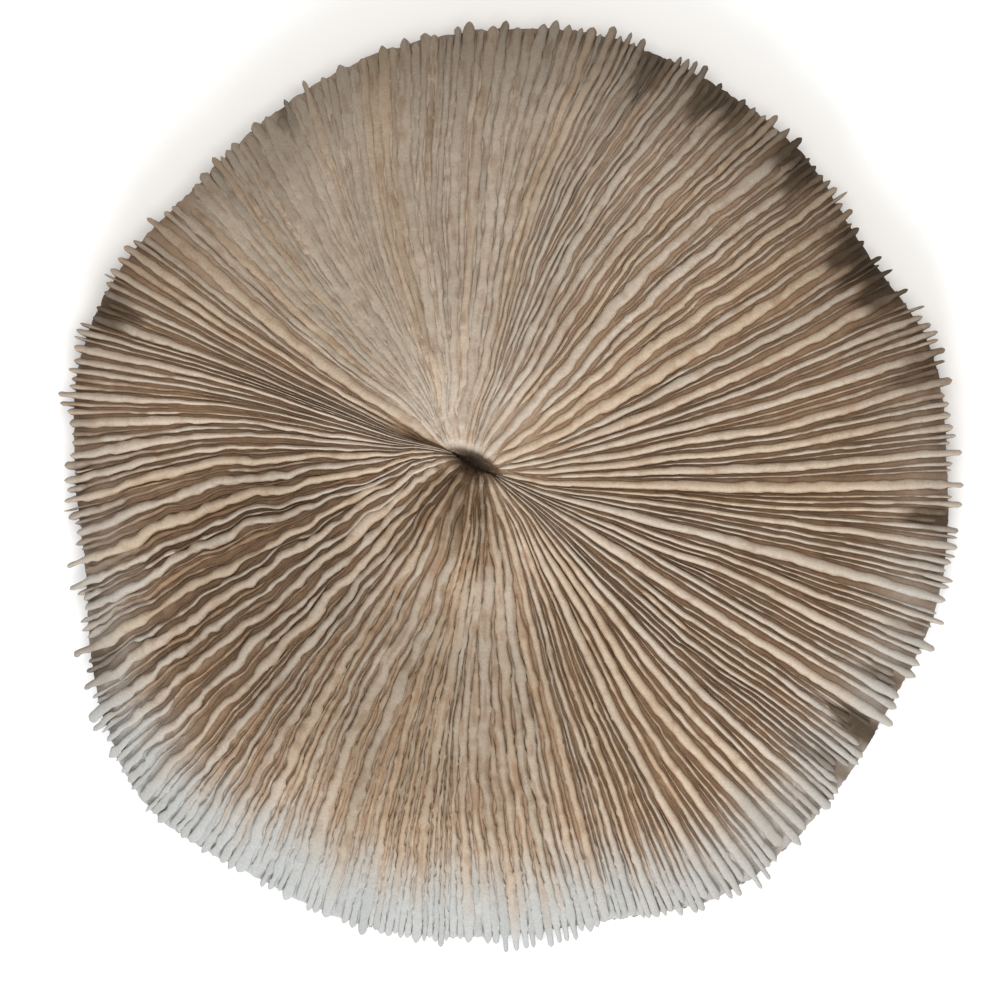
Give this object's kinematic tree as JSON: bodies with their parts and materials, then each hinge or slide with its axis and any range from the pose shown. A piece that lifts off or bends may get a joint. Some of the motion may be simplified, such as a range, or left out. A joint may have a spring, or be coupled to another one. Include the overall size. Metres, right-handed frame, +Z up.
{
  "type": "mushroom coral",
  "caption": "Dry skeleton of a free-living disc coral: a low round dome of thin radial blades meeting at a slit-like central mouth, ribbed and flat underneath.",
  "frame": {"origin": "on the surface that the coral stands on, under the middle of its box; the mouth is a little to the left of it, seen from above", "axes": "+Z up out of the mouth, +X to the right and +Y to the top of the coral seen from above as in the picture"},
  "size_m": [0.1464, 0.1517, 0.0303],
  "materials": {
    "coral": "matte"
  },
  "bodies": {
    "root": {"mushroom_coral": "coral"}
  },
  "joints": []
}
